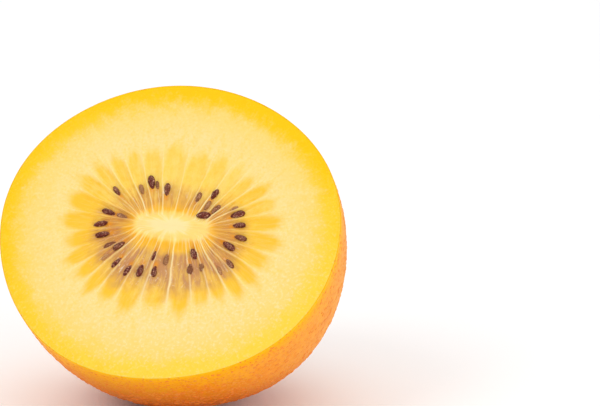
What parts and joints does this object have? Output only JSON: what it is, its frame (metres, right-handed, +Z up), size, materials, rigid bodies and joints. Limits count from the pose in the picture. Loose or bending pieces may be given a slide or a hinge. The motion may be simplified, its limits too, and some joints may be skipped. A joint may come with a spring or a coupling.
{
  "type": "golden kiwi fruit half",
  "caption": "Half of a golden kiwi fruit, cut across its middle, resting on its rounded side with the seeded face tilted up to be seen.",
  "frame": {"origin": "middle of the small flat spot that the half rests on", "axes": "+Z up; +X level along the wide way of the cut face; the cut face looks towards -Y and 40 degrees above the horizon"},
  "size_m": [0.0546, 0.0481, 0.0494],
  "materials": {
    "flesh": "moist, pale golden fruit flesh",
    "skin": "thin golden-orange fruit skin with fine raised dots",
    "seed": "smooth dark maroon seed",
    "stem": "dry brown woody stem end"
  },
  "bodies": {
    "root": {"kiwi_half": "flesh"}
  },
  "joints": []
}
